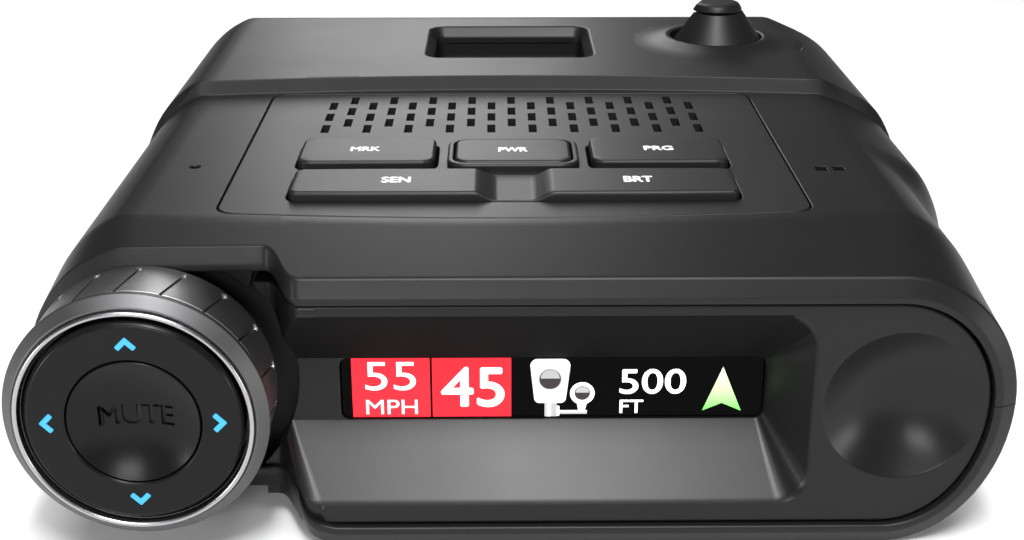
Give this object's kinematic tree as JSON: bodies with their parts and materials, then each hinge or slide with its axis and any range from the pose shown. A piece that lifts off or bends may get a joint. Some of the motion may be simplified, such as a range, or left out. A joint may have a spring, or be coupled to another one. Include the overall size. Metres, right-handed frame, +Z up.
{
  "type": "radar detector",
  "caption": "Windscreen radar detector with road camera: flat case, control dial with four-way pad, deck keys, speaker slots and a recessed display.",
  "frame": {"origin": "centre of the flat underside: halfway across the widest pieces and halfway from the dial's face to the rear", "axes": "+X to the driver's right, +Y towards the road ahead, +Z up; the display and dial face -Y"},
  "size_m": [0.0994, 0.1046, 0.0381],
  "materials": {
    "case_plastic": "matte charcoal moulded plastic with a fine grain",
    "bezel_plastic": "satin charcoal moulded plastic",
    "inner_plastic": "black moulded plastic",
    "key_plastic": "satin grey-black moulded keycaps with white legends",
    "grip_metal": "dark anodised turned metal, finely brushed around",
    "satin_silver": "bright satin silver ring, spun brushing",
    "pad_plastic": "smooth semi-gloss black plastic",
    "arrow_blue": "sky-blue translucent light pipe",
    "smoked_glass": "smoked gloss window",
    "clear_glass": "coated lens glass",
    "circuit_board": "green solder-masked board",
    "nickel": "tinned sheet metal",
    "cast_alloy": "die-cast zinc alloy",
    "steel": "zinc-plated steel",
    "magnet": "nickel-plated magnet",
    "ceramic": "fired ceramic with a silvered patch",
    "foil": "shrink-wrapped cell",
    "paper": "black paper cone and woven dust cloth"
  },
  "bodies": {
    "case": {"top_shell": "case_plastic", "bottom_shell": "case_plastic", "control_panel": "case_plastic", "front_bezel": "bezel_plastic", "dial_backplate": "inner_plastic", "dial_stem": "inner_plastic", "speaker_frame": "inner_plastic", "display_module": "inner_plastic", "laser_receiver": "inner_plastic", "power_jack": "inner_plastic", "light_sensor": "inner_plastic", "display_window": "smoked_glass", "radar_window": "smoked_glass", "camera_window": "clear_glass", "laser_lens": "clear_glass", "pad_board": "circuit_board", "key_board": "circuit_board", "main_board": "circuit_board", "processor_shield": "nickel", "radio_shield": "nickel", "card_socket": "nickel", "microphone": "nickel", "radar_horn": "cast_alloy", "case_screw_1": "steel", "case_screw_2": "steel", "case_screw_3": "steel", "case_screw_4": "steel", "mute_switch": "steel", "switch_mark": "steel", "switch_power": "steel", "switch_program": "steel", "switch_sensitivity": "steel", "switch_brightness": "steel", "speaker_magnet": "magnet", "mount_magnet": "magnet", "satellite_antenna": "ceramic", "backup_cell": "foil", "speaker_cone": "paper", "speaker_cloth": "paper"},
    "dial": {"dial_trim": "satin_silver", "dial_grip": "grip_metal", "dial_hub": "inner_plastic"},
    "pad_frame": {"pad_gimbal": "inner_plastic"},
    "pad": {"arrow_pad": "pad_plastic", "arrow_up": "arrow_blue", "arrow_left": "arrow_blue", "arrow_down": "arrow_blue", "arrow_right": "arrow_blue"},
    "mute": {"mute_button": "pad_plastic"},
    "mark_key": {"key_mark": "key_plastic"},
    "power_key": {"key_power": "key_plastic"},
    "program_key": {"key_program": "key_plastic"},
    "rocker": {"key_rocker": "key_plastic"},
    "camera": {"turret_cone": "case_plastic", "turret_cap": "case_plastic", "camera_drum": "inner_plastic", "camera_barrel": "inner_plastic", "camera_lens": "clear_glass", "camera_board": "circuit_board"}
  },
  "joints": [
    {"name": "dial_turn", "type": "hinge", "parent": "case", "child": "dial", "pos_m": [-0.03715, -0.04875, 0.01595], "axis": [0, -1, 0], "continuous": true},
    {"name": "pad_tilt_up_down", "type": "hinge", "parent": "case", "child": "pad_frame", "pos_m": [-0.03715, -0.04935, 0.01595], "axis": [1, 0, 0], "range_deg": [-2, 2], "stiffness_Nm_per_rad": 0.24},
    {"name": "pad_tilt_left_right", "type": "hinge", "parent": "pad_frame", "child": "pad", "pos_m": [-0.03715, -0.04935, 0.01595], "axis": [0, 0, 1], "range_deg": [-2, 2], "stiffness_Nm_per_rad": 0.24},
    {"name": "mute_press", "type": "slide", "parent": "case", "child": "mute", "axis": [0, 1, 0], "range_m": [0, 0.0005], "stiffness_N_per_m": 2500},
    {"name": "mark_press", "type": "slide", "parent": "case", "child": "mark_key", "axis": [0, 0, -1], "range_m": [0, 0.0005], "stiffness_N_per_m": 2500},
    {"name": "power_press", "type": "slide", "parent": "case", "child": "power_key", "axis": [0, 0, -1], "range_m": [0, 0.0005], "stiffness_N_per_m": 2500},
    {"name": "program_press", "type": "slide", "parent": "case", "child": "program_key", "axis": [0, 0, -1], "range_m": [0, 0.0005], "stiffness_N_per_m": 2500},
    {"name": "rocker_tilt", "type": "hinge", "parent": "case", "child": "rocker", "pos_m": [-0.00125, -0.02805, 0.0293], "axis": [0, 1, 0], "range_deg": [-1.4, 1.4], "stiffness_Nm_per_rad": 0.8},
    {"name": "camera_aim", "type": "hinge", "parent": "case", "child": "camera", "pos_m": [0.02775, 0.03075, 0.016], "axis": [0, 0, 1], "range_deg": [-10, 10]}
  ]
}
